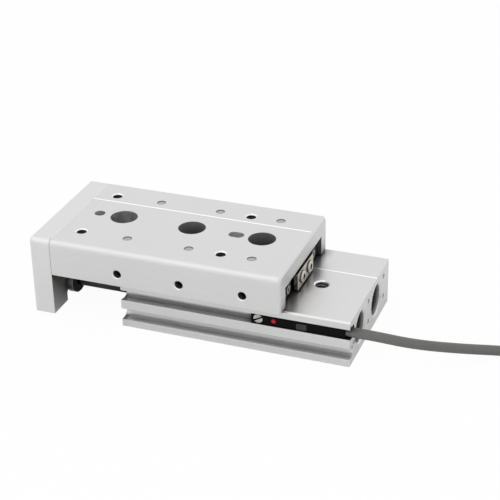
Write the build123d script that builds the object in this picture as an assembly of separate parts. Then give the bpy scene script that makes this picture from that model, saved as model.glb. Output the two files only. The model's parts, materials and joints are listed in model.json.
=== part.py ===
from build123d import *
import math
import os

# A twin-bore air slide table with a crossed-roller guide, at rest with its table part extended.
# Sizes are in millimetres. +X is the way the table extends, +Y the switch side, +Z up.
# The origin is on the axis of the middle body thread, in the body's bottom face.

# Travel and clearances
stroke = 20.0
extension = 14.0  # how far the table stands out from its retracted end
stop_clearance = 0.1
running_clearance = 0.05
seat_clearance = 0.02

# Stations along X, counted from the mounting holes
hole_pitch = 16.8
rear_margin = 10.8  # rear mounting hole to the body's rear face
access_inset = 11.1  # front access hole to the table's front end
table_rear_margin = 9.8  # rear access hole to the table's rear end
block_rear_margin = 4.8  # rear mounting hole to the guide block

# Slide table and end plate
table_clearance = 0.3  # between the guide block's top and the table's web
web_thickness = 4.0
skirt_thickness = 3.5
skirt_gap = 0.3
edge_radius = 1.5
table_end_chamfer = 0.5
seam_chamfer = 0.06
access_radius = 3.15
load_thread_radius = 1.25
load_pitch_x = 33.6
load_pitch_y = 19.0
load_inset = 5.0
pin_radius = 1.25
pin_depth = 2.5
pin_slot_length = 3.6
mouth_chamfer = 0.35  # of the bore recesses
thread_mouth = 0.12
index_offset = -6.6  # engraved line on the table and the body
index_width = 0.36
index_depth = 0.18
plate_thickness = 5.0
plate_bottom = 1.2
relief_width = 19.0
relief_height = 2.6
relief_radius = 1.0

# Body
body_height = 11.0
switch_side_step = 2.0  # how far the body's near side stands back from the table
body_chamfer = 0.35
mount_radius = 1.65
bore_radius = 3.0
bore_pitch = 12.4
bore_lift = 0.1  # bore axes over the body's mid height
recess_radius = 3.6
port_radius = 2.1
port_depth = 6.0
passage_radius = 0.75
switch_groove_drop = 3.05  # below the body's top
switch_groove_mouth = 2.5
switch_groove_width = 2.9
switch_groove_depth = 3.2
switch_groove_lip = 0.7
switch_groove_round = 1.15
lower_groove_height = 3.1
lower_groove_width = 2.8
lower_groove_depth = 2.65
rear_tap_radius = 0.65
rear_tap_depth = 3.0
rear_tap_spots = [(-12.0, 8.7), (-12.0, 3.5), (0.0, 8.7), (0.0, 3.5), (10.9, 4.6)]

# Bore ends, pistons and rods
cap_setback = 1.45
cap_flange = 1.75
cap_spigot = 3.0
cap_nose_radius = 2.0
cover_flange = 2.2
cover_spigot = 2.6
cover_nose = 2.4
cover_nose_radius = 2.3
ring_groove_radius = 2.2
ring_groove_width = 1.2
rod_seal_radius = 2.3
rod_seal_width = 1.4
rod_radius = 1.5
rod_stud_radius = 1.25
rod_stud_setback = 0.4
piston_length = 12.0
piston_groove_radius = 2.1
piston_seal_width = 1.5
piston_seal_inset = 1.5
magnet_width = 3.0
magnet_inset = 5.0
collar_radius = 3.3
collar_length = 1.5
bumper_length = 0.4
bumper_chamfer = 0.2

# Crossed-roller guide
block_width = 10.0
block_height = 4.7
block_setback = 0.5  # front stopper to the body's front face
stopper_thickness = 1.0
stopper_overhang = 0.2
stopper_gap = 0.5
stopper_drop = 0.25  # below the guide block's top
roller_radius = 0.75
roller_length = 1.4
roller_pitch = 2.5
roller_clearance = 0.03
way_gap = 0.6  # between the block and a rail
rail_width = 6.85
cage_thickness = 0.3
cage_height = 3.0
cage_margin = 0.2
rail_end_setback = 1.0
rail_lift = 0.4
rail_screw_pitch = 14.75
rail_screw_inset = 16.3
rail_screw_setback = 3.9  # from the rail's running face
preload_rise = 2.5  # over the rail's bottom
preload_radius = 1.0
preload_length = 1.6

# Screws: shank radius, head radius, head height
screw_shank_clearance = 0.05
socket_share = 0.55  # of a hex socket in its head
head_round_share = 0.6  # of a button head's height
rail_screw_shank = 1.0
rail_screw_head = 1.9
rail_screw_head_height = 1.9
rail_screw_tip_setback = 0.12
block_screw_shank = 1.25
block_screw_head = 2.25
block_screw_head_height = 2.3
block_screw_reach = 3.2
plate_bolt_shank = 1.0
plate_bolt_head = 1.9
plate_bolt_head_height = 2.0
plate_bolt_reach = 5.0
plate_bolt_inner = 5.0  # inner pair, from the table's centre line
plate_bolt_edge = 3.0  # outer pair, from the table's sides
plate_bolt_drop = 2.6  # below the table top
stopper_screw_shank = 0.8
stopper_screw_head = 1.4
stopper_screw_head_height = 0.5
stopper_screw_reach = 3.0
stopper_screw_rise = 2.6  # over the body's top
stopper_screw_offset = 2.4
rail_end_screw_radius = 1.0
rail_end_screw_shank = 0.7
rail_end_screw_height = 0.4
rail_end_screw_reach = 2.5
rail_end_screw_inset = 3.0  # from the rail's running face

# Position switch
switch_inset = 1.2
switch_length = 21.3
switch_depth = 2.8
switch_round = 0.95
switch_setback = 0.25
switch_screw_radius = 1.05
switch_screw_inset = 1.6
switch_point_radius = 0.28
switch_point_length = 0.75
switch_slot_width = 0.45
switch_slot_depth = 0.35
switch_slot_turn = 28.0
switch_led_inset = 5.2
switch_led_radius = 0.55
switch_led_round = 0.15

# Switch lead: the route's points, counted from the body's rear face as (behind, y, z)
cable_radius = 1.25
cable_route = [(-switch_inset, 12.5, 7.95), (5.0, 12.5, 7.95), (13.0, 10.6, 6.4), (21.5, 4.4, 3.4),
               (30.5, -0.8, 1.6), (37.5, -1.9, 1.45), (43.0, -1.7, 1.75)]
coil_centre = (45.0, -16.25)
coil_inner = 9.75
coil_outer = 16.0
coil_height = 7.5
coil_shoulder = 1.6
tie_width = 2.5
tie_thickness = 0.4
tie_clearance = 0.15
tail_turn = 13.5  # radius of the last turn, on top of the coil
tail_sweep = 300.0
tail_exit = 270.0  # where that turn leaves, in degrees round the coil
tail_straight = 3.0
arc_share = 0.45  # of the shorter run that an arc of the lead takes up
core_radius = 0.5
core_gap = 0.05
core_length = 6.0
core_tip_radius = 0.3
core_tip_length = 3.0

# Worked-out stations
mount_xs = [-hole_pitch, 0.0, hole_pitch]
access_xs = [x + extension for x in mount_xs]
table_front = access_xs[-1] + access_inset
table_rear = access_xs[0] - table_rear_margin
table_length = table_front - table_rear
plate_front = table_front + plate_thickness
body_front = table_front - extension - collar_length - bumper_length - stop_clearance
body_rear = mount_xs[0] - rear_margin
body_length = body_front - body_rear
rail_inner = block_width / 2 + way_gap
rail_outer = rail_inner + rail_width
cavity_half = rail_outer + running_clearance
table_width = 2 * (cavity_half + skirt_thickness)
block_top = body_height + block_height
web_bottom = block_top + table_clearance
table_top = web_bottom + web_thickness
far_face = -table_width / 2
near_face = table_width / 2 - switch_side_step
skirt_bottom = body_height + skirt_gap
bore_height = body_height / 2 + bore_lift
bore_ys = {"near": bore_pitch / 2, "far": -bore_pitch / 2}
load_xs = [table_front - load_inset, table_front - load_inset - load_pitch_x]
switch_groove_height = body_height - switch_groove_drop
plate_bolt_outer = table_width / 2 - plate_bolt_edge
plate_bolt_ys = [-plate_bolt_outer, -plate_bolt_inner, plate_bolt_inner, plate_bolt_outer]
plate_bolt_height = table_top - plate_bolt_drop
rail_screw_xs = [table_front - rail_screw_inset - i * rail_screw_pitch for i in range(3)]

cap_face = body_rear + cap_setback
cap_seat = cap_face + cap_flange
cap_spigot_end = cap_seat + cap_spigot
cover_seat = body_front - cover_flange
cover_spigot_end = cover_seat - cover_spigot
cover_end = cover_spigot_end - cover_nose
port_xs = [cap_spigot_end + cover_nose / 2, cover_spigot_end - cover_nose / 2]
piston_front = cover_end - stop_clearance - (stroke - extension)
piston_rear = piston_front - piston_length
cap_nose_end = piston_rear - extension - stop_clearance

block_front = body_front - block_setback - stopper_thickness
block_rear = mount_xs[0] + block_rear_margin
stopper_screw_height = body_height + stopper_screw_rise
stopper_half = block_width / 2 + stopper_overhang
block_screw_xs = [-hole_pitch / 2, hole_pitch / 2]
roller_height = body_height + block_height / 2
way_centre = (block_width + way_gap) / 2
way_side = 2 * (roller_radius + roller_clearance)
rail_screw_offset = rail_inner + rail_screw_setback
rail_bottom = skirt_bottom + rail_lift
preload_height = rail_bottom + preload_rise
rail_rear = table_rear + rail_end_setback
rail_front = table_front - rail_end_setback
cage_rear = block_rear + extension / 2 + cage_margin
cage_front = block_front - (stroke - extension) / 2 - cage_margin
cage_length = cage_front - cage_rear
roller_count = int(cage_length / roller_pitch)
roller_xs = [(cage_rear + cage_front - (roller_count - 1) * roller_pitch) / 2 + i * roller_pitch
             for i in range(roller_count)]

switch_rear = body_rear + switch_inset
switch_front = switch_rear + switch_length
switch_face = near_face - switch_setback
switch_screw_x = switch_front - switch_screw_inset
switch_led_x = switch_front - switch_led_inset
switch_width = switch_groove_mouth - 2 * running_clearance
coil_bottom = tie_thickness + tie_clearance
coil_top = coil_bottom + coil_height
tail_end = (body_rear - coil_centre[0] + tail_straight, coil_centre[1] - tail_turn)
core_offset = core_radius + core_gap / 2
core_height = coil_top + core_radius


def bar(x0, x1, y0, y1, z0, z1):
    return Pos((x0 + x1) / 2, (y0 + y1) / 2, (z0 + z1) / 2) * Box(x1 - x0, y1 - y0, z1 - z0)


def rod_x(radius, x0, x1, y, z):
    return Pos((x0 + x1) / 2, y, z) * Rot(0, 90, 0) * Cylinder(radius, x1 - x0)


def rod_y(radius, y0, y1, x, z):
    return Pos(x, (y0 + y1) / 2, z) * Rot(90, 0, 0) * Cylinder(radius, y1 - y0)


def rod_z(radius, z0, z1, x, y):
    return Pos(x, y, (z0 + z1) / 2) * Cylinder(radius, z1 - z0)


def mouth_z(radius, z, x, y):
    return Pos(x, y, z - thread_mouth / 2) * Cone(radius, radius + thread_mouth, thread_mouth)


def turned(outline, y, z):
    face = make_face(Polyline(*outline, close=True))
    return Pos(0, y, z) * revolve(face, Axis.X)


def ring_x(inner, outer, x0, x1, y, z):
    return turned([(x0, inner), (x1, inner), (x1, outer), (x0, outer)], y, z)


def o_ring(x, y):
    section = (bore_radius - ring_groove_radius) / 2 - seat_clearance
    middle = (bore_radius + ring_groove_radius) / 2
    return Pos(x, y, bore_height) * Rot(0, 90, 0) * Torus(middle, section)


def hex_socket(radius, depth):
    return extrude(RegularPolygon(radius, 6), -depth)


def cap_screw(shank_radius, shank_length, head_radius, head_height):
    head = Pos(0, 0, head_height / 2) * Cylinder(head_radius, head_height)
    shank = Pos(0, 0, -shank_length / 2) * Cylinder(shank_radius, shank_length)
    socket = Pos(0, 0, head_height) * hex_socket(head_radius * socket_share, head_height * socket_share)
    return head + shank - socket


def button_screw(shank_radius, shank_length, head_radius, head_height):
    screw = cap_screw(shank_radius, shank_length, head_radius, head_height)
    rim = screw.edges().filter_by(GeomType.CIRCLE).group_by(Axis.Z)[-1].sort_by(SortBy.RADIUS)[-1]
    return fillet(rim, head_height * head_round_share)


def index_cut(x0, x1, z):
    notch = [(index_offset - index_width / 2, z), (index_offset, z - index_depth),
             (index_offset + index_width / 2, z)]
    face = Plane.YZ * make_face(Polyline(*notch, close=True))
    return Pos(x0, 0, 0) * extrude(face, x1 - x0)


def body_profile():
    depth = near_face - far_face
    outline = Pos((near_face + far_face) / 2, body_height / 2) * Rectangle(depth, body_height)
    corner = outline.vertices().group_by(Axis.Y)[-1].sort_by(Axis.X)[-1]
    outline = chamfer(corner, body_chamfer)
    inner_depth = switch_groove_depth - switch_groove_lip
    inner = Rectangle(inner_depth, switch_groove_width)
    inner = fillet(inner.vertices().group_by(Axis.X)[0], switch_groove_round)
    inner = Pos(-switch_groove_lip - inner_depth / 2, 0) * inner
    switch_groove = inner + Rectangle(switch_groove_depth, switch_groove_mouth)
    lower_groove = SlotOverall(2 * lower_groove_depth, lower_groove_width)
    outline -= Pos(near_face, switch_groove_height) * switch_groove
    return outline - Pos(near_face, lower_groove_height) * lower_groove


def cylinder_body():
    body = Pos(body_rear, 0, 0) * extrude(Plane.YZ * body_profile(), body_length)
    body -= index_cut(body_rear, body_front, body_height)
    for y in bore_ys.values():
        body -= rod_x(bore_radius, body_rear, body_front, y, bore_height)
        body -= rod_x(recess_radius, body_rear, cap_seat, y, bore_height)
        body -= rod_x(recess_radius, cover_seat, body_front, y, bore_height)
        lead_in = Cone(recess_radius, recess_radius + mouth_chamfer, mouth_chamfer)
        body -= Pos(body_rear + mouth_chamfer / 2, y, bore_height) * Rot(0, -90, 0) * lead_in
    for x in mount_xs:
        body -= rod_z(mount_radius, 0, body_height, x, 0)
        body -= mouth_z(mount_radius, body_height, x, 0)
    for x in port_xs:
        body -= rod_y(port_radius, far_face, far_face + port_depth, x, bore_height)
        body -= rod_y(passage_radius, far_face, bore_ys["near"], x, bore_height)
    for y, z in rear_tap_spots:
        body -= rod_x(rear_tap_radius, body_rear, body_rear + rear_tap_depth, y, z)
    for x in block_screw_xs:
        head_seat = block_screw_head_height + seat_clearance
        body -= rod_z(block_screw_shank + screw_shank_clearance, 0, body_height, x, 0)
        body -= rod_z(block_screw_head + screw_shank_clearance, 0, head_seat, x, 0)
    return body


def head_cap(y):
    outer = recess_radius - seat_clearance
    spigot = bore_radius - seat_clearance
    groove = (cap_seat + cap_spigot_end - ring_groove_width) / 2
    outline = [(cap_face, 0), (cap_face, outer), (cap_seat, outer), (cap_seat, spigot), (groove, spigot),
               (groove, ring_groove_radius), (groove + ring_groove_width, ring_groove_radius),
               (groove + ring_groove_width, spigot), (cap_spigot_end, spigot),
               (cap_spigot_end, cap_nose_radius), (cap_nose_end, cap_nose_radius), (cap_nose_end, 0)]
    return turned(outline, y, bore_height)


def rod_cover(y):
    outer = recess_radius - seat_clearance
    spigot = bore_radius - seat_clearance
    inner = rod_radius + running_clearance
    groove = (cover_seat + cover_spigot_end - ring_groove_width) / 2
    seal_end = body_front - rod_seal_width
    outline = [(body_front, rod_seal_radius), (body_front, outer), (cover_seat, outer), (cover_seat, spigot),
               (groove + ring_groove_width, spigot), (groove + ring_groove_width, ring_groove_radius),
               (groove, ring_groove_radius), (groove, spigot), (cover_spigot_end, spigot),
               (cover_spigot_end, cover_nose_radius), (cover_end, cover_nose_radius), (cover_end, inner),
               (seal_end, inner), (seal_end, rod_seal_radius)]
    return turned(outline, y, bore_height)


def rod_seal(y):
    lip = rod_radius + running_clearance / 2
    outer = rod_seal_radius - seat_clearance
    heel = body_front - rod_seal_width + seat_clearance
    face = body_front - seat_clearance
    middle = (lip + outer) / 2
    outline = [(heel, lip), (face, lip), (face - rod_seal_width / 2, middle), (face, outer), (heel, outer)]
    return turned(outline, y, bore_height)


def piston(y):
    outer = bore_radius - running_clearance
    hole = rod_radius + seat_clearance
    seal_front = piston_front - piston_seal_inset
    seal_rear = seal_front - piston_seal_width
    magnet_front = piston_front - magnet_inset
    magnet_rear = magnet_front - magnet_width
    outline = [(piston_front, hole), (piston_front, outer), (seal_front, outer),
               (seal_front, piston_groove_radius), (seal_rear, piston_groove_radius), (seal_rear, outer),
               (magnet_front, outer), (magnet_front, piston_groove_radius),
               (magnet_rear, piston_groove_radius), (magnet_rear, outer), (piston_rear, outer),
               (piston_rear, hole)]
    return turned(outline, y, bore_height)


def piston_seal(y):
    front = piston_front - piston_seal_inset - seat_clearance
    rear = front - piston_seal_width + 2 * seat_clearance
    return ring_x(piston_groove_radius + seat_clearance, bore_radius - running_clearance / 2, rear, front,
                  y, bore_height)


def piston_magnet(y):
    front = piston_front - magnet_inset - seat_clearance
    rear = front - magnet_width + 2 * seat_clearance
    return ring_x(piston_groove_radius + seat_clearance, bore_radius - running_clearance, rear, front,
                  y, bore_height)


def piston_rod(y):
    rod = rod_x(rod_radius, piston_rear, table_front, y, bore_height)
    return rod + rod_x(rod_stud_radius, table_front, plate_front - rod_stud_setback, y, bore_height)


def rod_collar(y):
    rear = table_front - collar_length
    return ring_x(rod_radius + seat_clearance, collar_radius, rear, table_front, y, bore_height)


def rod_bumper(y):
    front = table_front - collar_length
    rear = front - bumper_length
    inner = rod_radius + seat_clearance
    outline = [(front, inner), (front, collar_radius), (rear + bumper_chamfer, collar_radius),
               (rear, collar_radius - bumper_chamfer), (rear, inner)]
    return turned(outline, y, bore_height)


def table_profile():
    outline = Pos(0, (table_top + skirt_bottom) / 2) * Rectangle(table_width, table_top - skirt_bottom)
    outline = fillet(outline.vertices().group_by(Axis.Y)[-1], edge_radius)
    cavity_height = web_bottom - skirt_bottom
    return outline - Pos(0, skirt_bottom + cavity_height / 2) * Rectangle(2 * cavity_half, cavity_height)


def outer_edges(solid, x):
    skin = table_width / 2 - edge_radius
    edges = [e for e in solid.edges() if abs(e.center().X - x) < seat_clearance]
    return [e for e in edges if e.center().Z > table_top - edge_radius or abs(e.center().Y) > skin]


def slide_table():
    table = Pos(table_rear, 0, 0) * extrude(Plane.YZ * table_profile(), table_length)
    table = chamfer(outer_edges(table, table_rear), table_end_chamfer)
    table = chamfer(outer_edges(table, table_front), seam_chamfer)
    table -= index_cut(table_rear, table_front, table_top)
    for x in access_xs:
        table -= rod_z(access_radius, web_bottom, table_top, x, 0)
    for x in load_xs:
        for y in (-load_pitch_y / 2, load_pitch_y / 2):
            table -= rod_z(load_thread_radius, web_bottom, table_top, x, y)
            table -= mouth_z(load_thread_radius, table_top, x, y)
    table -= rod_z(pin_radius, table_top - pin_depth, table_top, load_xs[0], 0)
    slot = extrude(SlotOverall(pin_slot_length, 2 * pin_radius), -pin_depth)
    table -= Pos(load_xs[1], 0, table_top) * slot
    for x in rail_screw_xs:
        for y in (-rail_screw_offset, rail_screw_offset):
            table -= rod_z(rail_screw_shank + screw_shank_clearance, web_bottom, table_top, x, y)
        table -= rod_y(preload_radius, cavity_half, table_width / 2, x, preload_height)
        lead_in = Cone(preload_radius, preload_radius + thread_mouth, thread_mouth)
        table -= Pos(x, table_width / 2 - thread_mouth / 2, preload_height) * Rot(-90, 0, 0) * lead_in
    hole_end = table_front - plate_bolt_reach - seat_clearance
    for y in plate_bolt_ys:
        hole = rod_x(plate_bolt_shank + screw_shank_clearance, hole_end, table_front, y, plate_bolt_height)
        table -= hole
    return table


def end_plate():
    outline = Pos(0, (table_top + plate_bottom) / 2) * Rectangle(table_width, table_top - plate_bottom)
    outline = fillet(outline.vertices().group_by(Axis.Y)[-1], edge_radius)
    relief = Rectangle(relief_width, 2 * relief_height)
    relief = fillet(relief.vertices().group_by(Axis.Y)[-1], relief_radius)
    outline -= Pos(0, plate_bottom) * relief
    plate = Pos(table_front, 0, 0) * extrude(Plane.YZ * outline, plate_thickness)
    plate = chamfer(outer_edges(plate, table_front), seam_chamfer)
    plate = chamfer(outer_edges(plate, plate_front), table_end_chamfer)
    for y in bore_ys.values():
        plate -= rod_x(rod_stud_radius + seat_clearance, table_front, plate_front, y, bore_height)
    seat = plate_front - plate_bolt_head_height - 2 * seat_clearance
    for y in plate_bolt_ys:
        shank = plate_bolt_shank + screw_shank_clearance
        head = plate_bolt_head + screw_shank_clearance
        plate -= rod_x(shank, table_front, plate_front, y, plate_bolt_height)
        plate -= rod_x(head, seat, plate_front, y, plate_bolt_height)
    return plate


def end_plate_bolts():
    seat = plate_front - plate_bolt_head_height - seat_clearance
    reach = seat - table_front + plate_bolt_reach
    screw = cap_screw(plate_bolt_shank, reach, plate_bolt_head, plate_bolt_head_height)
    return Compound([Pos(seat, y, plate_bolt_height) * Rot(0, 90, 0) * screw for y in plate_bolt_ys])


def raceway(x0, x1, side):
    square = Rot(0, 0, 45) * Rectangle(way_side, way_side)
    face = Plane.YZ * (Pos(side * way_centre, roller_height) * square)
    return Pos(x0, 0, 0) * extrude(face, x1 - x0)


def guide_block():
    block = bar(block_rear, block_front, -block_width / 2, block_width / 2, body_height, block_top)
    for side in (-1, 1):
        block -= raceway(block_rear, block_front, side)
    for x in mount_xs[1:]:
        block -= rod_z(access_radius, body_height, block_top, x, 0)
    for x in block_screw_xs:
        top = body_height + block_screw_reach + seat_clearance
        block -= rod_z(block_screw_shank + seat_clearance, body_height, top, x, 0)
    tap = stopper_screw_shank + seat_clearance
    for x in (block_rear, block_front - stopper_screw_reach):
        for y in (-stopper_screw_offset, stopper_screw_offset):
            block -= rod_x(tap, x, x + stopper_screw_reach, y, stopper_screw_height)
    return block


def guide_block_screws():
    seat = block_screw_head_height
    reach = body_height - seat + block_screw_reach
    screw = cap_screw(block_screw_shank, reach, block_screw_head, block_screw_head_height - seat_clearance)
    return Compound([Pos(x, 0, seat) * Rot(180, 0, 0) * screw for x in block_screw_xs])


def roller_stopper(x0):
    x1 = x0 + stopper_thickness
    plate = bar(x0, x1, -stopper_half, stopper_half, body_height + stopper_gap,
                block_top - stopper_drop)
    for y in (-stopper_screw_offset, stopper_screw_offset):
        plate -= rod_x(stopper_screw_shank + screw_shank_clearance, x0, x1, y, stopper_screw_height)
    return plate


def stopper_screws():
    reach = stopper_thickness + stopper_screw_reach - seat_clearance
    screw = button_screw(stopper_screw_shank, reach, stopper_screw_head, stopper_screw_head_height)
    faces = ((block_rear - stopper_thickness, -90), (block_front + stopper_thickness, 90))
    return Compound([Pos(x, y, stopper_screw_height) * Rot(0, turn, 0) * screw
                     for x, turn in faces for y in (-stopper_screw_offset, stopper_screw_offset)])


def rail(side):
    inner, outer = sorted((side * rail_inner, side * rail_outer))
    way = bar(rail_rear, rail_front, inner, outer, rail_bottom, web_bottom)
    way -= raceway(rail_rear, rail_front, side)
    seat = rail_bottom + rail_screw_head_height + 2 * seat_clearance
    y = side * rail_screw_offset
    for x in rail_screw_xs:
        way -= rod_z(rail_screw_shank + screw_shank_clearance, rail_bottom, web_bottom, x, y)
        way -= rod_z(rail_screw_head + screw_shank_clearance, rail_bottom, seat, x, y)
    y = side * (rail_inner + rail_end_screw_inset)
    tap = rail_end_screw_shank + seat_clearance
    for x in (rail_rear, rail_front - rail_end_screw_reach):
        way -= rod_x(tap, x, x + rail_end_screw_reach, y, roller_height)
    return way


def rail_screws():
    seat = rail_bottom + rail_screw_head_height + seat_clearance
    reach = table_top - rail_screw_tip_setback - seat
    screw = cap_screw(rail_screw_shank, reach, rail_screw_head, rail_screw_head_height)
    return Compound([Pos(x, y, seat) * Rot(180, 0, 0) * screw
                     for x in rail_screw_xs for y in (-rail_screw_offset, rail_screw_offset)])


def rail_end_screws():
    reach = rail_end_screw_reach - seat_clearance
    screw = cap_screw(rail_end_screw_shank, reach, rail_end_screw_radius, rail_end_screw_height)
    y = rail_inner + rail_end_screw_inset
    ends = ((rail_rear, -90), (rail_front, 90))
    return Compound([Pos(x, side * y, roller_height) * Rot(0, turn, 0) * screw
                     for x, turn in ends for side in (-1, 1)])


def preload_screws():
    screw = Cylinder(preload_radius - seat_clearance, preload_length)
    socket = hex_socket(preload_radius * socket_share, preload_length * socket_share)
    screw -= Pos(0, 0, preload_length / 2) * socket
    y = rail_outer + preload_length / 2
    return Compound([Pos(x, y, preload_height) * Rot(-90, 0, 0) * screw for x in rail_screw_xs])


def roller_cage(side):
    y = side * way_centre
    half = cage_height / 2
    cage = bar(cage_rear, cage_front, y - cage_thickness / 2, y + cage_thickness / 2,
               roller_height - half, roller_height + half)
    window_width = 2 * (roller_radius + running_clearance)
    window_height = math.sqrt(2) * (roller_length + 2 * running_clearance)
    for x in roller_xs:
        cage -= Pos(x, y, roller_height) * Box(window_width, 2 * cage_thickness, window_height)
    return cage


def rollers(side):
    y = side * way_centre
    roller = Cylinder(roller_radius, roller_length)
    return Compound([Pos(x, y, roller_height) * Rot(45 if i % 2 else -45, 0, 0) * roller
                     for i, x in enumerate(roller_xs)])


def switch_body():
    section = Rectangle(switch_depth, switch_width)
    section = fillet(section.vertices().group_by(Axis.X)[0], switch_round)
    face = Plane.YZ * (Pos(switch_face - switch_depth / 2, switch_groove_height) * section)
    body = Pos(switch_rear, 0, 0) * extrude(face, switch_length)
    body -= rod_y(switch_screw_radius + seat_clearance, near_face - switch_groove_depth, near_face,
                  switch_screw_x, switch_groove_height)
    return body - rod_y(switch_led_radius, switch_face - switch_led_radius, near_face,
                        switch_led_x, switch_groove_height)


def switch_screw():
    point = near_face - switch_groove_depth + running_clearance
    shoulder = point + switch_point_length
    screw = rod_y(switch_screw_radius, shoulder, switch_face, switch_screw_x, switch_groove_height)
    screw += rod_y(switch_point_radius, point, shoulder, switch_screw_x, switch_groove_height)
    slot = Box(2 * switch_screw_radius, 2 * switch_slot_depth, switch_slot_width)
    slot = Rot(0, switch_slot_turn, 0) * slot
    return screw - Pos(switch_screw_x, switch_face, switch_groove_height) * slot


def switch_led():
    base = switch_face - switch_led_radius
    lens = rod_y(switch_led_radius - seat_clearance, base, switch_face + switch_setback / 2,
                 switch_led_x, switch_groove_height)
    return fillet(lens.edges().sort_by(Axis.Y)[-1], switch_led_round)


def behind(point):
    return (body_rear - point[0], point[1], point[2])


def sensor_cable():
    points = [Vector(*behind(p)) for p in cable_route]
    radii = []
    for a, b, c in zip(points, points[1:], points[2:]):
        turn = math.radians((b - a).get_angle(c - b))
        radii.append(arc_share * min((b - a).length, (c - b).length) / math.tan(turn / 2))
    path = FilletPolyline(*points, radius=radii)
    print("lead bend radii", [round(r, 1) for r in radii], "length", round(path.length, 1))
    return sweep(Plane(origin=path @ 0, z_dir=path % 0) * Circle(cable_radius), path=path)


def cable_tail():
    turn = CenterArc((0, 0), tail_turn, tail_exit - tail_sweep, tail_sweep)
    path = turn + Line(turn @ 1, turn @ 1 + turn % 1 * tail_straight)
    tail = sweep(Plane(origin=turn @ 0, z_dir=turn % 0) * Circle(cable_radius), path=path)
    return Pos(*behind((*coil_centre, coil_top + cable_radius))) * tail


def cable_coil():
    outline = [(coil_inner, coil_bottom), (coil_outer, coil_bottom), (coil_outer, coil_top - coil_shoulder),
               (coil_outer - coil_shoulder, coil_top), (coil_inner + coil_shoulder, coil_top),
               (coil_inner, coil_top - coil_shoulder)]
    ring = revolve(Plane.XZ * make_face(Polyline(*outline, close=True)), Axis.Z)
    return Pos(*behind((*coil_centre, 0))) * ring


def coil_tie():
    width = coil_outer - coil_inner + 2 * tie_clearance
    bundle = coil_height + 2 * cable_radius
    height = bundle + 2 * tie_clearance
    band = Rectangle(width + 2 * tie_thickness, height + 2 * tie_thickness)
    band = fillet(band.vertices(), tie_thickness) - Rectangle(width, height)
    strap = extrude(Plane.XZ * band, tie_width / 2, both=True)
    x, y, z = behind((*coil_centre, coil_bottom + bundle / 2))
    return Pos(x - (coil_inner + coil_outer) / 2, y, z) * strap


def lead_core(side):
    x, y = tail_end
    return rod_x(core_radius, x, x + core_length, y + side * core_offset, core_height)


def lead_tips():
    x, y = tail_end
    x += core_length
    return Compound([rod_x(core_tip_radius, x, x + core_tip_length, y + side * core_offset, core_height)
                     for side in (-1, 1)])


nodes = {
    "cylinder_body": cylinder_body(),
    "guide_block": guide_block(),
    "guide_block_screws": guide_block_screws(),
    "roller_stopper_rear": roller_stopper(block_rear - stopper_thickness),
    "roller_stopper_front": roller_stopper(block_front),
    "stopper_screws": stopper_screws(),
    "switch_body": switch_body(),
    "switch_screw": switch_screw(),
    "switch_led": switch_led(),
    "sensor_cable": sensor_cable(),
    "cable_coil": cable_coil(),
    "coil_tie": coil_tie(),
    "cable_tail": cable_tail(),
    "lead_core_brown": lead_core(1),
    "lead_core_blue": lead_core(-1),
    "lead_tips": lead_tips(),
    "slide_table": slide_table(),
    "end_plate": end_plate(),
    "end_plate_bolts": end_plate_bolts(),
    "rail_screws": rail_screws(),
    "rail_end_screws": rail_end_screws(),
    "preload_screws": preload_screws(),
}
for name, side in (("near", 1), ("far", -1)):
    y = bore_ys[name]
    nodes["head_cap_" + name] = head_cap(y)
    nodes["head_seal_" + name] = o_ring((cap_seat + cap_spigot_end) / 2, y)
    nodes["rod_cover_" + name] = rod_cover(y)
    nodes["cover_seal_" + name] = o_ring((cover_seat + cover_spigot_end) / 2, y)
    nodes["rod_seal_" + name] = rod_seal(y)
    nodes["piston_" + name] = piston(y)
    nodes["piston_seal_" + name] = piston_seal(y)
    nodes["piston_magnet_" + name] = piston_magnet(y)
    nodes["piston_rod_" + name] = piston_rod(y)
    nodes["rod_collar_" + name] = rod_collar(y)
    nodes["rod_bumper_" + name] = rod_bumper(y)
    nodes["rail_" + name] = rail(side)
    nodes["roller_cage_" + name] = roller_cage(side)
    nodes["rollers_" + name] = rollers(side)

os.makedirs("parts", exist_ok=True)
for name, shape in nodes.items():
    export_step(shape, "parts/" + name + ".step")
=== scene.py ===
import json
import math

import bpy
from mathutils import Matrix, Vector


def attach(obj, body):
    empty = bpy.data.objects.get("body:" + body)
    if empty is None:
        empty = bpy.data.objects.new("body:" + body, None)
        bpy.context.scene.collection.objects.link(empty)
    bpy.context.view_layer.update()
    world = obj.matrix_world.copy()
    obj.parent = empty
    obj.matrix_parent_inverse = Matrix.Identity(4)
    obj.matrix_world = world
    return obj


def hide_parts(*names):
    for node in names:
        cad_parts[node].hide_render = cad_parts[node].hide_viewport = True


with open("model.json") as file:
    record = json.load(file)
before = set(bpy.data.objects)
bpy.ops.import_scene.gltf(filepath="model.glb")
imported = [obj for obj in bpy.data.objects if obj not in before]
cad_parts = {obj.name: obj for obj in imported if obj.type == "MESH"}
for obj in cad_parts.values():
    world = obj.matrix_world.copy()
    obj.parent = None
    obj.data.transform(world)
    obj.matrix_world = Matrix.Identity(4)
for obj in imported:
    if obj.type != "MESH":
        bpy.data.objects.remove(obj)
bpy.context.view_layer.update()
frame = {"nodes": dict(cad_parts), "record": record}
nodes = frame["nodes"]
scene = bpy.context.scene
scene.view_settings.view_transform = "Standard"


# camera, from the photograph's viewing angle
cameraSettings = {
    "place": (-0.10178, 0.26545, 0.168653),
    "right": (-0.93656, -0.35013, -0.01640),
    "up": (0.15153, -0.44665, 0.88178),
    "back": (-0.31606, 0.82336, 0.47137),
    "lens": 104.01,
    "sensor": 36.0,
    "clip": (0.01, 20.0),
}


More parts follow.
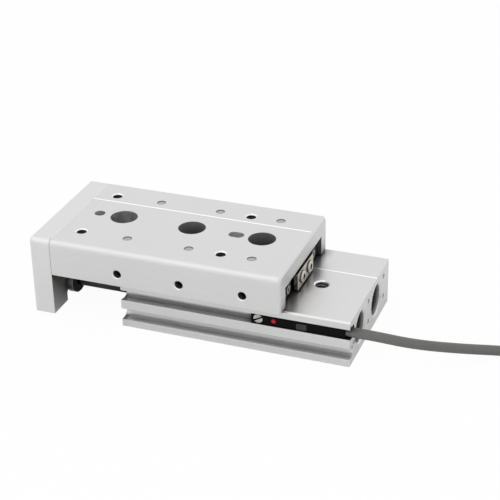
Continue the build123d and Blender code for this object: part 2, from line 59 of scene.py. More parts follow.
def makeCamera(settings):
    data = bpy.data.cameras.new("viewCamera")
    data.sensor_width = settings["sensor"]
    data.lens = settings["lens"]
    data.clip_start, data.clip_end = settings["clip"]
    camera = bpy.data.objects.new("viewCamera", data)
    scene.collection.objects.link(camera)
    turn = Matrix((settings["right"], settings["up"], settings["back"])).transposed()
    camera.matrix_world = Matrix.Translation(settings["place"]) @ turn.to_4x4()
    scene.camera = camera


makeCamera(cameraSettings)
print("camera set")


# shared shader groups: each gives masks, tones, heights or normals only
groupSettings = {"grainDetail": 4.0, "grainRoughness": 0.6, "cloudDetail": 2.0, "cloudShare": 0.5,
                 "bevelSamples": 6, "coverSamples": 8}


def newGroup(name, inputs, outputs):
    group = bpy.data.node_groups.new(name, "ShaderNodeTree")
    for label, kind, value in inputs:
        socket = group.interface.new_socket(name=label, in_out="INPUT", socket_type=kind)
        socket.default_value = value
    for label, kind in outputs:
        group.interface.new_socket(name=label, in_out="OUTPUT", socket_type=kind)
    return group, group.nodes.new("NodeGroupInput"), group.nodes.new("NodeGroupOutput")


def mathNode(tree, operation, first, second, clamp=False):
    node = tree.nodes.new("ShaderNodeMath")
    node.operation = operation
    node.use_clamp = clamp
    for socket, value in zip(node.inputs, (first, second)):
        if isinstance(value, (int, float)):
            socket.default_value = value
        else:
            tree.links.new(value, socket)
    return node.outputs[0]


def makeGrainGroup(s):
    group, given, result = newGroup(
        "satinGrain",
        [("Scale", "NodeSocketFloat", 900.0), ("Stretch", "NodeSocketVector", (1.0, 1.0, 1.0)),
         ("Cloud Scale", "NodeSocketFloat", 40.0), ("Bias", "NodeSocketFloat", 0.0)],
        [("Height", "NodeSocketFloat"), ("Tone", "NodeSocketFloat"), ("Cloud", "NodeSocketFloat")])
    place = group.nodes.new("ShaderNodeTexCoord")
    scaled = group.nodes.new("ShaderNodeVectorMath")
    scaled.operation = "MULTIPLY"
    group.links.new(place.outputs["Object"], scaled.inputs[0])
    group.links.new(given.outputs["Stretch"], scaled.inputs[1])
    grain = group.nodes.new("ShaderNodeTexNoise")
    grain.inputs["Detail"].default_value = s["grainDetail"]
    grain.inputs["Roughness"].default_value = s["grainRoughness"]
    group.links.new(scaled.outputs[0], grain.inputs["Vector"])
    group.links.new(given.outputs["Scale"], grain.inputs["Scale"])
    cloud = group.nodes.new("ShaderNodeTexNoise")
    cloud.inputs["Detail"].default_value = s["cloudDetail"]
    group.links.new(place.outputs["Object"], cloud.inputs["Vector"])
    group.links.new(given.outputs["Cloud Scale"], cloud.inputs["Scale"])
    both = mathNode(group, "MULTIPLY_ADD", cloud.outputs["Fac"], s["cloudShare"])
    grainPart = mathNode(group, "MULTIPLY", grain.outputs["Fac"], 1 - s["cloudShare"])
    group.links.new(grainPart, both.node.inputs[2])
    tone = mathNode(group, "ADD", both, given.outputs["Bias"], clamp=True)
    group.links.new(grain.outputs["Fac"], result.inputs["Height"])
    group.links.new(tone, result.inputs["Tone"])
    group.links.new(cloud.outputs["Fac"], result.inputs["Cloud"])
    return group


# edge mask for rubbed edges and painted highlights, with the rounded normal from the Bevel node
def makeEdgeGroup(s):
    group, given, result = newGroup(
        "edgeLight",
        [("Radius", "NodeSocketFloat", 0.00015), ("Gain", "NodeSocketFloat", 6.0)],
        [("Mask", "NodeSocketFloat"), ("Normal", "NodeSocketVector")])
    bevel = group.nodes.new("ShaderNodeBevel")
    bevel.samples = s["bevelSamples"]
    group.links.new(given.outputs["Radius"], bevel.inputs["Radius"])
    shape = group.nodes.new("ShaderNodeNewGeometry")
    dot = group.nodes.new("ShaderNodeVectorMath")
    dot.operation = "DOT_PRODUCT"
    group.links.new(bevel.outputs["Normal"], dot.inputs[0])
    group.links.new(shape.outputs["Normal"], dot.inputs[1])
    lean = mathNode(group, "SUBTRACT", 1.0, dot.outputs["Value"])
    mask = mathNode(group, "MULTIPLY", lean, given.outputs["Gain"], clamp=True)
    group.links.new(mask, result.inputs["Mask"])
    group.links.new(bevel.outputs["Normal"], result.inputs["Normal"])
    return group


def makeCreviceGroup(s):
    group, given, result = newGroup(
        "creviceShade",
        [("Reach", "NodeSocketFloat", 0.004), ("Power", "NodeSocketFloat", 1.5),
         ("Settle", "NodeSocketFloat", 0.0)],
        [("Open", "NodeSocketFloat")])
    cover = group.nodes.new("ShaderNodeAmbientOcclusion")
    cover.samples = s["coverSamples"]
    group.links.new(given.outputs["Reach"], cover.inputs["Distance"])
    shape = group.nodes.new("ShaderNodeNewGeometry")
    split = group.nodes.new("ShaderNodeSeparateXYZ")
    group.links.new(shape.outputs["Normal"], split.inputs[0])
    upward = mathNode(group, "MAXIMUM", split.outputs["Z"], 0.0)  # shade settles on what faces up
    settled = mathNode(group, "MULTIPLY", upward, given.outputs["Settle"])
    power = mathNode(group, "ADD", given.outputs["Power"], settled)
    group.links.new(mathNode(group, "POWER", cover.outputs["AO"], power), result.inputs["Open"])
    return group


grainGroup = makeGrainGroup(groupSettings)
edgeGroup = makeEdgeGroup(groupSettings)
creviceGroup = makeCreviceGroup(groupSettings)
print("shader groups built")


def makeFinish(name, settings):
    material = bpy.data.materials.new(name)
    material.use_nodes = True
    tree = material.node_tree
    shader = tree.nodes["Principled BSDF"]
    grain = tree.nodes.new("ShaderNodeGroup")
    grain.node_tree = grainGroup
    grain.inputs["Scale"].default_value = settings["grainScale"]
    grain.inputs["Stretch"].default_value = settings["stretch"]
    grain.inputs["Cloud Scale"].default_value = settings["cloudScale"]
    edge = tree.nodes.new("ShaderNodeGroup")
    edge.node_tree = edgeGroup
    edge.inputs["Radius"].default_value = settings["edgeRadius"]
    edge.inputs["Gain"].default_value = settings["edgeGain"]
    tone = tree.nodes.new("ShaderNodeMix")
    tone.data_type = "RGBA"
    tone.inputs["A"].default_value = (*settings["dark"], 1.0)
    tone.inputs["B"].default_value = (*settings["light"], 1.0)
    tree.links.new(grain.outputs["Tone"], tone.inputs["Factor"])
    # rubbed edges and painted highlight: the edge mask lightens the tone towards the finish's edge tone
    wearAndHighlight = tree.nodes.new("ShaderNodeMix")
    wearAndHighlight.data_type = "RGBA"
    wearAndHighlight.inputs["B"].default_value = (*settings["edge"], 1.0)
    tree.links.new(edge.outputs["Mask"], wearAndHighlight.inputs["Factor"])
    tree.links.new(tone.outputs["Result"], wearAndHighlight.inputs["A"])
    crevice = tree.nodes.new("ShaderNodeGroup")
    crevice.node_tree = creviceGroup
    crevice.inputs["Reach"].default_value = settings["creviceReach"]
    crevice.inputs["Power"].default_value = settings["crevicePower"]
    crevice.inputs["Settle"].default_value = settings["settle"]
    shaded = tree.nodes.new("ShaderNodeMix")
    shaded.data_type = "RGBA"
    shaded.inputs["A"].default_value = (*[c * settings["creviceTone"] for c in settings["dark"]], 1.0)
    tree.links.new(crevice.outputs["Open"], shaded.inputs["Factor"])
    tree.links.new(wearAndHighlight.outputs["Result"], shaded.inputs["B"])
    tree.links.new(shaded.outputs["Result"], shader.inputs["Base Color"])
    rough = tree.nodes.new("ShaderNodeMapRange")
    rough.inputs["To Min"].default_value = settings["rough"][0]
    rough.inputs["To Max"].default_value = settings["rough"][1]
    tree.links.new(grain.outputs["Cloud"], rough.inputs["Value"])
    tree.links.new(rough.outputs["Result"], shader.inputs["Roughness"])
    bump = tree.nodes.new("ShaderNodeBump")
    bump.inputs["Strength"].default_value = settings["bump"]
    bump.inputs["Distance"].default_value = settings["depth"]
    tree.links.new(grain.outputs["Height"], bump.inputs["Height"])
    tree.links.new(edge.outputs["Normal"], bump.inputs["Normal"])
    tree.links.new(bump.outputs["Normal"], shader.inputs["Normal"])
    shader.inputs["Metallic"].default_value = settings["metal"]
    shader.inputs["Specular IOR Level"].default_value = settings["specular"]
    if settings["glow"]:
        shader.inputs["Emission Color"].default_value = (*settings["light"], 1.0)
        shader.inputs["Emission Strength"].default_value = settings["glow"]
    material.diffuse_color = (*settings["light"], 1.0)
    return material


def finish(dark, light, edge, rough, metal, **more):
    settings = {"dark": dark, "light": light, "edge": edge, "rough": rough, "metal": metal,
                "grainScale": 1500.0, "stretch": (1.0, 1.0, 1.0), "cloudScale": 60.0,
                "edgeRadius": 0.00012, "edgeGain": 5.0, "bump": 0.15, "depth": 0.00002,
                "creviceReach": 0.004, "crevicePower": 1.6, "settle": 0.0, "creviceTone": 0.06,
                "specular": 0.5, "glow": 0.0}
    settings.update(more)
    return settings


def grey(tone):
    return (tone, tone, tone)


# one finish for each of the record's material slots: dark, light and edge tones, roughness, metal
finishes = {
    "anodised_aluminium": finish(grey(0.67), (0.785, 0.785, 0.78), grey(0.90), (0.36, 0.46), 0.9,
                                 stretch=(0.06, 1.0, 1.0), grainScale=2600.0, edgeRadius=0.00015),
    "guide_steel": finish((0.20, 0.20, 0.205), grey(0.29), grey(0.50), (0.24, 0.34), 1.0,
                          stretch=(0.04, 1.0, 1.0), grainScale=3000.0, crevicePower=2.2),
    "nickel_plate": finish((0.52, 0.49, 0.44), (0.74, 0.70, 0.64), (0.98, 0.95, 0.90), (0.20, 0.32), 1.0,
                           cloudScale=500.0, creviceReach=0.0008, crevicePower=2.5, edgeRadius=0.0001),
    "cage_brass": finish((0.50, 0.36, 0.14), (0.62, 0.46, 0.20), (0.80, 0.65, 0.35), (0.25, 0.40), 1.0),
    "screw_steel": finish((0.40, 0.39, 0.38), (0.54, 0.53, 0.51), (0.75, 0.74, 0.71), (0.25, 0.40), 1.0,
                          cloudScale=400.0, creviceReach=0.0015),
    # painted shade: the rod's tones are near-black for the shade it lies in under the table
    "rod_steel": finish((0.05, 0.048, 0.046), (0.075, 0.072, 0.07), (0.20, 0.20, 0.19), (0.2, 0.3), 1.0,
                        stretch=(1.0, 0.1, 0.1), creviceReach=0.008, crevicePower=1.6),
    "cap_aluminium": finish(grey(0.008), grey(0.016), grey(0.05), (0.45, 0.60), 0.6, cloudScale=400.0),
    "black_rubber": finish(grey(0.010), grey(0.022), grey(0.04), (0.55, 0.75), 0.0, specular=0.2),
    "magnet": finish((0.10, 0.10, 0.11), (0.16, 0.16, 0.17), grey(0.25), (0.5, 0.65), 0.6),
    "switch_plastic": finish((0.003, 0.003, 0.0035), (0.005, 0.005, 0.006), grey(0.012), (0.42, 0.58), 0.0,
                             bump=0.25, specular=0.06),
    "switch_brass": finish((0.42, 0.41, 0.39), (0.62, 0.60, 0.57), (0.85, 0.84, 0.82), (0.2, 0.32), 1.0,
                           creviceReach=0.0008, crevicePower=3.0),
    "switch_lens": finish((0.40, 0.006, 0.010), (0.56, 0.014, 0.020), (0.30, 0.01, 0.015), (0.2, 0.3), 0.0,
                          specular=0.2, glow=0.16, edgeRadius=0.0002),
    "cable_jacket": finish((0.118, 0.117, 0.114), (0.158, 0.157, 0.152), (0.19, 0.19, 0.185), (0.34, 0.46),
                           0.0, bump=0.2, cloudScale=150.0, creviceReach=0.006, crevicePower=4.0),
    "tie_plastic": finish(grey(0.012), grey(0.022), grey(0.05), (0.4, 0.55), 0.0),
    "core_brown": finish((0.075, 0.030, 0.014), (0.11, 0.045, 0.02), (0.15, 0.07, 0.03), (0.35, 0.5), 0.0),
    "core_blue": finish((0.012, 0.05, 0.22), (0.02, 0.08, 0.32), (0.05, 0.14, 0.45), (0.35, 0.5), 0.0),
    "tinned_copper": finish((0.45, 0.44, 0.42), (0.62, 0.61, 0.59), (0.8, 0.8, 0.78), (0.25, 0.4), 1.0,
                            stretch=(0.1, 1.0, 1.0), grainScale=6000.0),
}
# finishes that only some pieces of a slot have
aluminium = finishes["anodised_aluminium"]
noEdge = {"edgeRadius": 1e-6, "edgeGain": 0.0}  # on linings, which are thinner than the edge tone reaches
# painted shade: the long crevice reach darkens the end plate's inner face under the table
finishes["plate_aluminium"] = dict(aluminium, dark=grey(0.725), light=grey(0.80),
                                   creviceReach=0.016, crevicePower=3.9)
# painted shade: up-facing hollows get darker, so the side grooves darken towards their lower lips
finishes["body_aluminium"] = dict(aluminium, dark=grey(0.68), light=(0.75, 0.75, 0.745), rough=(0.28, 0.36),
                                  creviceReach=0.0028, crevicePower=0.35, settle=1.4, creviceTone=0.11)
finishes["black_oxide"] = dict(finishes["screw_steel"], dark=grey(0.02), light=grey(0.04), edge=grey(0.10),
                               metal=0.5)
finishes["collar_steel"] = dict(finishes["rod_steel"], dark=(0.27, 0.255, 0.23), light=(0.40, 0.38, 0.345),
                                edge=(0.62, 0.60, 0.56), creviceReach=0.003, crevicePower=0.9)
finishes["bright_cut"] = dict(aluminium, **noEdge, dark=grey(0.88), light=(0.96, 0.96, 0.955),
                              rough=(0.25, 0.38), creviceReach=0.0012, crevicePower=1.0)
# bright cut metal in the index lines, and the painted highlight along the seam edge
finishes["index_cut"] = dict(finishes["bright_cut"], crevicePower=0.0)
# painted shade: one tapped surface in three tones, darkest in the load and preload holes, lighter in the
# wells and ports, lightest in the shallow rear taps
finishes["tapped_thread"] = dict(aluminium, **noEdge, dark=grey(0.10), light=grey(0.17),
                                 creviceReach=0.0016, crevicePower=2.0)
finishes["well_thread"] = dict(finishes["tapped_thread"], dark=grey(0.22), light=grey(0.34), crevicePower=0.9)
finishes["shallow_thread"] = dict(finishes["tapped_thread"], dark=grey(0.70), light=grey(0.80), metal=0.2,
                                  crevicePower=0.0)
finishes["reamed_bore"] = dict(aluminium, **noEdge, dark=grey(0.70), light=grey(0.80),
                               creviceReach=0.001, crevicePower=0.8, creviceTone=0.4)
# painted shade: the steep crevice power turns the deep end of the recess wall near-black
finishes["recess_wall"] = dict(finishes["reamed_bore"], dark=grey(0.80), light=grey(0.90), metal=0.5,
                               creviceReach=0.0011, crevicePower=4.0, creviceTone=0.01)
finishes["switch_print"] = dict(finishes["switch_plastic"], dark=(0.045, 0.047, 0.052),
                                light=(0.065, 0.067, 0.073), rough=(0.5, 0.65))
pieceFinishes = {"end_plate": "plate_aluminium", "cylinder_body": "body_aluminium",
                 "preload_screws": "black_oxide", "rod_collar_near": "collar_steel",
                 "rod_collar_far": "collar_steel"}
materials = {name: makeFinish(name, settings) for name, settings in finishes.items()}
for part in frame["record"]["subparts"]:
    mesh = nodes[part["node"]].data
    mesh.materials.clear()
    mesh.materials.append(materials[pieceFinishes.get(part["node"], part["material_slot"])])
print("finishes:", len(materials))


def addPiece(name, points, faces, body, finishName, shell=0.0):
    mesh = bpy.data.meshes.new(name)
    mesh.from_pydata([[c / 1000 for c in point] for point in points], [], faces)  # points are in millimetres
    mesh.validate()
    piece = bpy.data.objects.new(name, mesh)
    scene.collection.objects.link(piece)
    mesh.materials.append(materials[finishName])
    if shell:  # closes a thin lining
        skin = piece.modifiers.new("skin", "SOLIDIFY")
        skin.thickness, skin.offset = shell / 1000, 0.0
    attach(piece, body)
    return piece


def joinRings(faces, rings):
    for lower, upper in zip(rings, rings[1:]):
        for j in range(len(lower)):
            k = (j + 1) % len(lower)
            faces.append((lower[j], lower[k], upper[k], upper[j]))


lining = 0.006  # thickness of what lines a hole or groove, in millimetres


# threads in the tapped holes, each set with its body, sides, finish and rim, then its holes:
# place of the mouth, the way in, core radius, depth and pitch
threadSettings = {
    "gap": 0.01,  # off the wall
    "ridge": 0.2,  # height, as a share of the pitch
    "profile": ((0.0, 0.0), (0.3, 0.0), (0.5, 1.0), (0.8, 1.0)),  # along one pitch: root, root, crest, crest
    "mouth": {"broken": 0.24, "sharp": 0.24, None: 0.02},  # depth at which the thread begins, by its rim
    "rims": {  # radius off the core and depth, from the face inwards
        "broken": ((0.21, -0.002), (0.16, -0.01), (0.10, 0.0), (0.03, 0.07), (-0.03, 0.14), (-0.13, 0.24)),
        "sharp": ((0.112, 0.0), (0.05, 0.062), (-0.02, 0.14), (-0.08, 0.24)),
    },
    "sets": {
        "loadThreads": ("table", 28, "tapped_thread", "broken", [
            ((x, y, 20.0), (0, 0, -1), 1.25, 3.9, 0.5) for x in (36.9, 3.3) for y in (-9.5, 9.5)]),
        "preloadThreads": ("table", 24, "tapped_thread", "sharp", [
            ((x, 16.0, 14.2), (0, -1, 0), 1.0, 1.9, 0.4) for x in (25.6, 10.85, -3.9)]),
        "wellThreads": ("cylinder", 32, "well_thread", "broken", [
            ((x, 0.0, 11.0), (0, 0, -1), 1.65, 10.97, 0.7) for x in (-16.8, 0.0, 16.8)]),
        "portThreads": ("cylinder", 36, "well_thread", None, [
            ((x, -16.0, 5.6), (0, 1, 0), 2.1, 5.6, 0.8) for x in (-20.2, 19.9)]),
        "rearThreads": ("cylinder", 16, "shallow_thread", None, [
            ((-27.6, y, z), (1, 0, 0), 0.65, 2.8, 0.35)
            for y, z in ((-12.0, 8.7), (-12.0, 3.5), (0.0, 8.7), (0.0, 3.5), (10.9, 4.6))]),
    },
}


def ringPoint(place, way, radius, deep, turn):
    place, way = Vector(place), Vector(way)
    side = way.orthogonal().normalized()
    across = way.cross(side)
    angle = 2 * math.pi * turn
    return place + deep * way + radius * (math.cos(angle) * side + math.sin(angle) * across)


def ringPoints(place, way, radius, deep, around):
    return [ringPoint(place, way, radius, deep, j / around) for j in range(around)]


def ridgeHeight(profile, along):
    along %= 1.0
    stations = profile + ((1.0, profile[0][1]),)
    for (start, low), (end, high) in zip(stations, stations[1:]):
        if along <= end:
            return low + (high - low) * (along - start) / (end - start)


def makeThreads(name, s):
    body, around, finishName, rim, holes = s["sets"][name]
    points, faces, profile, mouth = [], [], s["profile"], s["mouth"][rim]
    for place, way, core, depth, pitch in holes:
        turns = math.ceil((depth - mouth) / pitch) + 1
        rows = [turn + share for turn in range(-1, turns) for share, height in profile]
        columns = []  # for each one the points that its rows stand on
        for j in range(around):
            column, last = [], None
            for along in rows:
                deep = mouth + (along + j / around) * pitch  # one pitch deeper each time round
                deep = min(max(deep, mouth), depth)
                if deep != last:
                    height = ridgeHeight(profile, (deep - mouth) / pitch - j / around)
                    radius = core - s["gap"] - height * s["ridge"] * pitch
                    points.append(ringPoint(place, way, radius, deep, j / around))
                    last = deep
                column.append(len(points) - 1)
            columns.append(column)
        turned = columns[0][len(profile):] + columns[0][-1:] * len(profile)  # the next turn of the ridge
        for here, there in zip(columns, columns[1:] + [turned]):
            for i in range(len(rows) - 1):
                corners = list(dict.fromkeys((here[i], there[i], there[i + 1], here[i + 1])))
                if len(corners) > 2:
                    faces.append(corners)
    addPiece(name, points, faces, body, finishName, lining)
    if rim:
        makeRims(name.replace("Threads", "Rims"), body, around, s["rims"][rim], holes)


def makeRims(name, body, around, section, holes):
    points, faces = [], []
    for place, way, core, depth, pitch in holes:
        first = len(points)
        for radius, deep in section:
            points += ringPoints(place, way, core + radius, deep, around)
        rings = [range(first + i * around, first + (i + 1) * around) for i in range(len(section))]
        joinRings(faces, rings)
    addPiece(name, points, faces, body, "bright_cut", lining)


for name in threadSettings["sets"]:
    makeThreads(name, threadSettings)
print("threads:", len(threadSettings["sets"]))


# engraved index lines on the table and the body, cut after the anodising
indexSettings = {
    "y": -6.6,
    "half": 0.172,
    "depth": 0.168,
    "drop": 0.004,  # under the face
    "section": ((-1.0, 0.0), (-0.12, 0.88), (0.0, 0.92), (0.12, 0.88), (1.0, 0.0)),  # of half and depth
    "lines": [("tableIndexLine", "table", (-12.1, 41.84), 20.0),
              ("bodyIndexLine", "cylinder", (-27.6, 25.9), 11.0)],
}


def makeIndexLine(name, body, ends, top, s):
    points = [(x, s["y"] + across * s["half"], top - s["drop"] - down * s["depth"])
              for x in ends for across, down in s["section"]]
    count = len(s["section"])
    faces = [(i, i + 1, count + i + 1, count + i) for i in range(count - 1)]
    addPiece(name, points, faces, body, "index_cut", lining)


for name, body, ends, top in indexSettings["lines"]:
    makeIndexLine(name, body, ends, top, indexSettings)
print("index lines:", len(indexSettings["lines"]))


# painted highlight: bright strips along the edges of the table and the end plate where they are bolted
# together
seamSettings = {"x": 41.9, "width": 0.06, "half": 16.0, "top": 20.0, "bottom": 11.32, "radius": 1.5,
                "lift": 0.002, "floorLift": 0.006, "steps": 8}


def makeSeamEdge(s):
    side = [((s["half"], s["bottom"]), (1.0, 0.0))]  # point and the way out of the skin, as y and z
    for i in range(s["steps"] + 1):
        angle = math.pi / 2 * i / s["steps"]
        out = (math.cos(angle), math.sin(angle))
        side.append(((s["half"] - s["radius"] * (1 - out[0]), s["top"] - s["radius"] * (1 - out[1])), out))
    line = side + [((-y, z), (-u, v)) for (y, z), (u, v) in reversed(side)]
    onTop = line[s["steps"]:len(line) - s["steps"]]  # the plate's edge is bright there alone
    points = []
    for shift, sink, run in ((-s["width"], -s["lift"], line), (0.0, s["width"] - s["floorLift"], line),
                             (s["width"], -s["lift"], onTop)):
        points += [(s["x"] + shift, y - sink * u, z - sink * v) for (y, z), (u, v) in run]
    count, first = len(line), len(line) + s["steps"]
    faces = [(i, i + 1, count + i + 1, count + i) for i in range(count - 1)]
    faces += [(first + i, first + i + 1, 2 * count + i + 1, 2 * count + i) for i in range(len(onTop) - 1)]
    addPiece("seamEdge", points, faces, "table", "index_cut", lining)


makeSeamEdge(seamSettings)
print("seam edge")


# reamed walls and floors of the dowel hole and the dowel slot
dowelSettings = {"radius": 1.25, "top": 20.0, "depth": 2.5, "gap": 0.012, "around": 40, "rows": 6,
                 "places": [("dowelHole", 36.9, 0.0), ("dowelSlot", 3.3, 1.1)]}  # x, length over the round


def makeDowelBore(name, x, stretch, s):
    radius, count = s["radius"] - s["gap"], s["around"]
    ring = []
    for j in range(count):
        angle = 2 * math.pi * (j + 0.5) / count
        shift = math.copysign(stretch / 2, math.cos(angle))
        ring.append((x + shift + radius * math.cos(angle), radius * math.sin(angle)))
    bottom = s["depth"] - s["gap"]
    levels = [s["gap"] + (bottom - s["gap"]) * i / s["rows"] for i in range(s["rows"] + 1)]
    points = [(u, v, s["top"] - level) for level in levels for u, v in ring]
    rings = [range(i * count, (i + 1) * count) for i in range(s["rows"], -1, -1)]
    faces = [tuple(rings[0])]
    joinRings(faces, rings)
    addPiece(name, points, faces, "table", "reamed_bore", lining)


for name, x, stretch in dowelSettings["places"]:
    makeDowelBore(name, x, stretch, dowelSettings)
print("dowel bores:", len(dowelSettings["places"]))


# turned walls of the bore recesses in the rear face
recessSettings = {"radius": 3.6, "gap": 0.012, "around": 64, "from": 0.35, "to": 1.43, "rows": 4,
                  "places": [("recessNear", (-27.6, 6.2, 5.6)), ("recessFar", (-27.6, -6.2, 5.6))]}


def makeRecess(name, place, s):
    count, points, faces = s["around"], [], []
    for i in range(s["rows"] + 1):
        deep = s["from"] + (s["to"] - s["from"]) * i / s["rows"]
        points += ringPoints(place, (1, 0, 0), s["radius"] - s["gap"], deep, count)
    joinRings(faces, [range(i * count, (i + 1) * count) for i in range(s["rows"] + 1)])
    addPiece(name, points, faces, "cylinder", "recess_wall", lining)


for name, place in recessSettings["places"]:
    makeRecess(name, place, recessSettings)
print("recess walls:", len(recessSettings["places"]))


# plain printed patch on the switch's face
patchSettings = {"x": (-17.8, -15.4), "z": (6.95, 8.45), "face": 13.75, "lift": 0.015,
                 "corner": 0.25, "steps": 5}


def makePatch(s):
    outline = []
    (x0, x1), (z0, z1), corner = s["x"], s["z"], s["corner"]
    for quarter, (x, z) in enumerate(((x1 - corner, z1 - corner), (x0 + corner, z1 - corner),
                                      (x0 + corner, z0 + corner), (x1 - corner, z0 + corner))):
        for i in range(s["steps"] + 1):
            angle = math.pi / 2 * (quarter + i / s["steps"])
            outline.append((x + corner * math.cos(angle), z + corner * math.sin(angle)))
    count = len(outline)
    points = [(x, s["face"] + lift, z) for lift in (-s["lift"], s["lift"]) for x, z in outline]
    faces = [tuple(range(2 * count - 1, count - 1, -1)), tuple(range(count))]
    joinRings(faces, [range(count), range(count, 2 * count)])
    addPiece("switchPatch", points, faces, "cylinder", "switch_print")


makePatch(patchSettings)
print("switch patch")


# the switch's lead: the route's points, then a tied coil, then the short end with its bare cores
leadSettings = {
    "diameter": 0.00225,
    "length": 0.495,
    "rearFace": -27.6,
    "route": [(-1.2, 12.5, 7.95), (5.0, 12.5, 7.95), (13.0, 10.6, 6.4), (21.5, 4.4, 3.4),
              (30.5, -0.8, 1.6), (37.5, -1.9, 1.45), (43.0, -1.7, 1.75)],
    "coilCentre": (45.0, -16.25),
    "outerTurn": 14.75,
    "turnPitch": 2.5,
    "startAngle": 90.0,
    "rows": (1.5, 1.5, 1.5, 1.0),  # turns in each row, from the floor up
    "pointsPerTurn": 20,
    "floorRow": 1.8,
    "rowStep": 2.5,
    "tailStraight": 3.0,
    "tieAngle": 180.0,
    "splineOrder": 3,
    "splineSteps": 6,  # between two points
    "bevelSteps": 6,
}
# the strap round the coil's turns, with its head and cut end
tieSettings = {
    "width": 2.5,
    "thickness": 0.4,
    "slack": 0.06,
    "arcSteps": 7,
    "crownDepth": 0.08,  # the strap's outer face is hollow between its rims
    "crownShare": 0.5,  # of the width
    "head": (2.0, 3.4, 3.2),
    "headRound": 0.35,
    "endThickness": 0.35,
    "end": ((-0.2, 0.9, 1.05), (2.7, 1.1, 1.05), (3.2, 1.15, 0.63)),  # rise over the head, shift, half width
}


def hullOf(spots):
    spots = sorted(set(spots))
    sides = []
    for run in (spots, spots[::-1]):
        side = []
        for spot in run:
            while len(side) > 1 and ((side[-1][0] - side[-2][0]) * (spot[1] - side[-2][1])
                                     <= (side[-1][1] - side[-2][1]) * (spot[0] - side[-2][0])):
                side.pop()
            side.append(spot)
        sides += side[:-1]
    return sides  # counter-clockwise


def strapLine(tied, s):
    hull = hullOf(tied)
    line = []
    for i, (r, z) in enumerate(hull):
        before, after = hull[i - 1], hull[(i + 1) % len(hull)]
        start = math.atan2(-(r - before[0]), z - before[1])  # out of the run that comes here
        end = math.atan2(-(after[0] - r), after[1] - z)
        turn = (end - start) % (2 * math.pi)
        line += [(r, z, start + turn * k / s["arcSteps"]) for k in range(s["arcSteps"] + 1)]
    return line  # centre of the bend and the way out of it


def makeTie(tied, lead, s):
    centreX, centreY = lead["rearFace"] - lead["coilCentre"][0], lead["coilCentre"][1]
    inner = lead["diameter"] * 1000 / 2 + s["slack"]
    points, faces, half = [], [], s["width"] / 2

    def put(r, y, z):
        points.append((centreX - r, centreY + y, z))
        return len(points) - 1

    outer = inner + s["thickness"]
    crown, mid = outer - s["crownDepth"], half * s["crownShare"]
    section = ((inner, -half), (outer, -half), (crown, -mid), (crown, mid), (outer, half), (inner, half))
    strap = [[put(r + out * math.cos(way), y, z + out * math.sin(way)) for out, y in section]
             for r, z, way in strapLine(tied, s)]
    joinRings(faces, strap + strap[:1])
    # the head stands on the outer run, and the cut end leaves through its top
    outerR = max(r for r, z in tied) + inner
    middle = sum(z for r, z in tied) / len(tied)
    deep, wide, tall = s["head"]
    cut = s["headRound"]
    head = []
    for out, trim in ((0.0, 0.0), (deep - cut, 0.0), (deep, cut)):
        ring = []
        for sy, sz in ((-1, -1), (1, -1), (1, 1), (-1, 1)):
            y, z = sy * (wide / 2 - trim), sz * (tall / 2 - trim)
            corner = [(y - sy * cut, z), (y, z - sz * cut)]
            ring += [put(outerR + out, a, middle + b) for a, b in (corner if sy * sz < 0 else corner[::-1])]
        head.append(ring)
    end, thick = [], s["endThickness"]
    for rise, shift, width in s["end"]:
        section = ((0, -width), (thick, -width), (thick, width), (0, width))
        end.append([put(outerR + shift + t, y, middle + tall / 2 + rise) for t, y in section])
    for rings in (head, end):
        joinRings(faces, rings)
        faces += [tuple(rings[-1]), tuple(reversed(rings[0]))]
    tie = addPiece("leadTie", points, faces, "cylinder", "tie_plastic")
    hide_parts("coil_tie")
    return tie


def leadPoints(s):
    points, tied = list(s["route"]), []
    step = 360.0 / s["pointsPerTurn"]
    spread = 1.0 / math.cos(math.radians(step / 2))  # a spline runs inside its points by this much
    climb = s["pointsPerTurn"] // 4  # points from one row up to the next
    x, y = s["coilCentre"]
    angle, radius = s["startAngle"], s["outerTurn"]
    for row, turns in enumerate(s["rows"]):
        way = 1 if row % 2 else -1  # rows run inwards, then outwards
        for i in range(round(turns * s["pointsPerTurn"])):
            angle += step
            radius += way * s["turnPitch"] / s["pointsPerTurn"]
            left = max(0.0, 1.0 - (i + 1) / climb) if row else 0.0  # of the climb
            level = s["floorRow"] + s["rowStep"] * (row - left ** 2)
            a = math.radians(angle)
            points.append((x - radius * spread * math.cos(a), y + radius * spread * math.sin(a), level))
            if round(angle - s["tieAngle"]) % 360 == 0:
                tied.append((radius, level))
    points += [(x - share * s["tailStraight"], y - radius, level) for share in (0.5, 1.0)]
    return [((s["rearFace"] - x) / 1000, y / 1000, z / 1000) for x, y, z in points], tied


def makeLead(s):
    points, tied = leadPoints(s)
    data = bpy.data.curves.new("switchLead", "CURVE")
    data.dimensions = "3D"
    spline = data.splines.new("NURBS")
    spline.points.add(len(points) - 1)
    for point, place in zip(spline.points, points):
        point.co = (*place, 1.0)
    spline.order_u = s["splineOrder"]
    spline.use_endpoint_u = True
    spline.resolution_u = s["splineSteps"]
    data.bevel_depth = s["diameter"] / 2
    data.bevel_resolution = s["bevelSteps"]
    data.use_fill_caps = True
    lead = bpy.data.objects.new("switchLead", data)
    scene.collection.objects.link(lead)
    data.materials.append(materials["cable_jacket"])
    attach(lead, "cylinder")
    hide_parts("sensor_cable", "cable_coil", "cable_tail")
    tie = makeTie(tied, s, tieSettings)


makeLead(leadSettings)
print("lead laid")


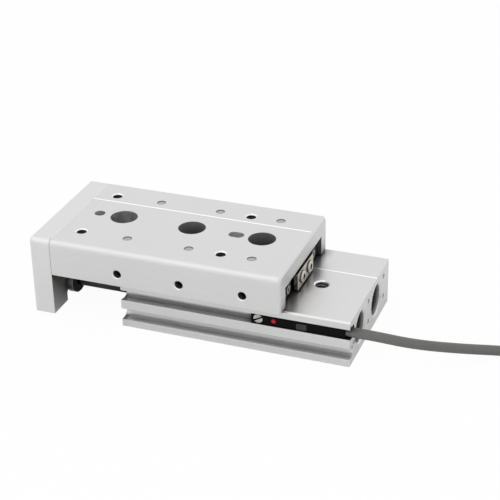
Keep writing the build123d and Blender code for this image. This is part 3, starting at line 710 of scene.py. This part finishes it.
# pale floor and soft studio light
studioSettings = {
    "floorSize": 6.0,
    "floorTone": 0.93,
    "floorRough": 0.9,
    "cameraShare": 0.96,
    "glossShare": 0.15,
    "worldFill": 0.42,
    "lamps": [  # name, place, size, radiance, and whether the metal mirrors it over the white room
        ("topBox", (0.30, 0.42, 0.80), (1.1, 1.1), 1.1, False),
        ("sideBox", (-0.9, 0.5, 0.5), (0.7, 0.5), 1.1, False),
        ("frontBox", (0.7, 0.8, 0.4), (0.6, 0.5), 1.1, False),
        ("backBox", (-0.5, -0.8, 0.7), (1.0, 1.0), 1.0, False),
        ("edgeBox", (0.31, 0.46, 0.80), (0.8, 0.8), 0.3, True),
    ],
}


def rayMask(tree, cameraShare, glossShare):
    path = tree.nodes.new("ShaderNodeLightPath")
    seen = mathNode(tree, "MULTIPLY", path.outputs["Is Camera Ray"], cameraShare)
    through = mathNode(tree, "MULTIPLY", path.outputs["Is Transmission Ray"], cameraShare)
    glossy = mathNode(tree, "MULTIPLY", path.outputs["Is Glossy Ray"], glossShare)
    return mathNode(tree, "MAXIMUM", mathNode(tree, "MAXIMUM", seen, through), glossy)


def makeFloor(s):
    mesh = bpy.data.meshes.new("studioFloor")
    half = s["floorSize"] / 2
    corners = [(-half, -half, 0), (half, -half, 0), (half, half, 0), (-half, half, 0)]
    mesh.from_pydata(corners, [], [(0, 1, 2, 3)])
    floor = bpy.data.objects.new("studioFloor", mesh)
    scene.collection.objects.link(floor)
    material = bpy.data.materials.new("studioFloor")
    material.use_nodes = True
    tree = material.node_tree
    shader = tree.nodes["Principled BSDF"]
    shader.inputs["Base Color"].default_value = (*grey(s["floorTone"]), 1.0)
    shader.inputs["Roughness"].default_value = s["floorRough"]
    shader.inputs["Specular IOR Level"].default_value = 0.0
    glow = tree.nodes.new("ShaderNodeEmission")
    mix = tree.nodes.new("ShaderNodeMixShader")
    tree.links.new(rayMask(tree, s["cameraShare"], s["glossShare"]), mix.inputs[0])
    tree.links.new(shader.outputs[0], mix.inputs[1])
    tree.links.new(glow.outputs[0], mix.inputs[2])
    tree.links.new(mix.outputs[0], tree.nodes["Material Output"].inputs["Surface"])
    mesh.materials.append(material)
    floor.visible_shadow = False  # it takes shadows and casts none


def makeWorld(s):
    world = bpy.data.worlds.new("studioWorld")
    scene.world = world
    world.use_nodes = True
    tree = world.node_tree
    background = tree.nodes["Background"]
    background.inputs["Color"].default_value = (1.0, 1.0, 1.0, 1.0)
    strength = mathNode(tree, "MULTIPLY_ADD", rayMask(tree, 1.0, 1.0), 1.0 - s["worldFill"])
    strength.node.inputs[2].default_value = s["worldFill"]
    way = tree.nodes.new("ShaderNodeTexCoord")
    split = tree.nodes.new("ShaderNodeSeparateXYZ")
    tree.links.new(way.outputs["Generated"], split.inputs[0])
    above = mathNode(tree, "GREATER_THAN", split.outputs["Z"], 0.0)  # no light from below the floor
    path = tree.nodes.new("ShaderNodeLightPath")
    shown = mathNode(tree, "MAXIMUM", above, path.outputs["Is Camera Ray"])  # white past the floor's edge
    tree.links.new(mathNode(tree, "MULTIPLY", strength, shown), background.inputs["Strength"])


def makeLamps(s):
    for name, place, size, radiance, mirrored in s["lamps"]:
        data = bpy.data.lights.new(name, "AREA")
        data.shape = "RECTANGLE"
        data.size, data.size_y = size
        data.energy = radiance * math.pi * size[0] * size[1]
        lamp = bpy.data.objects.new(name, data)
        scene.collection.objects.link(lamp)
        lamp.location = place
        lamp.rotation_euler = (-Vector(place)).to_track_quat("-Z", "Y").to_euler()
        lamp.visible_glossy = mirrored


makeFloor(studioSettings)
makeWorld(studioSettings)
makeLamps(studioSettings)
print("studio lit")
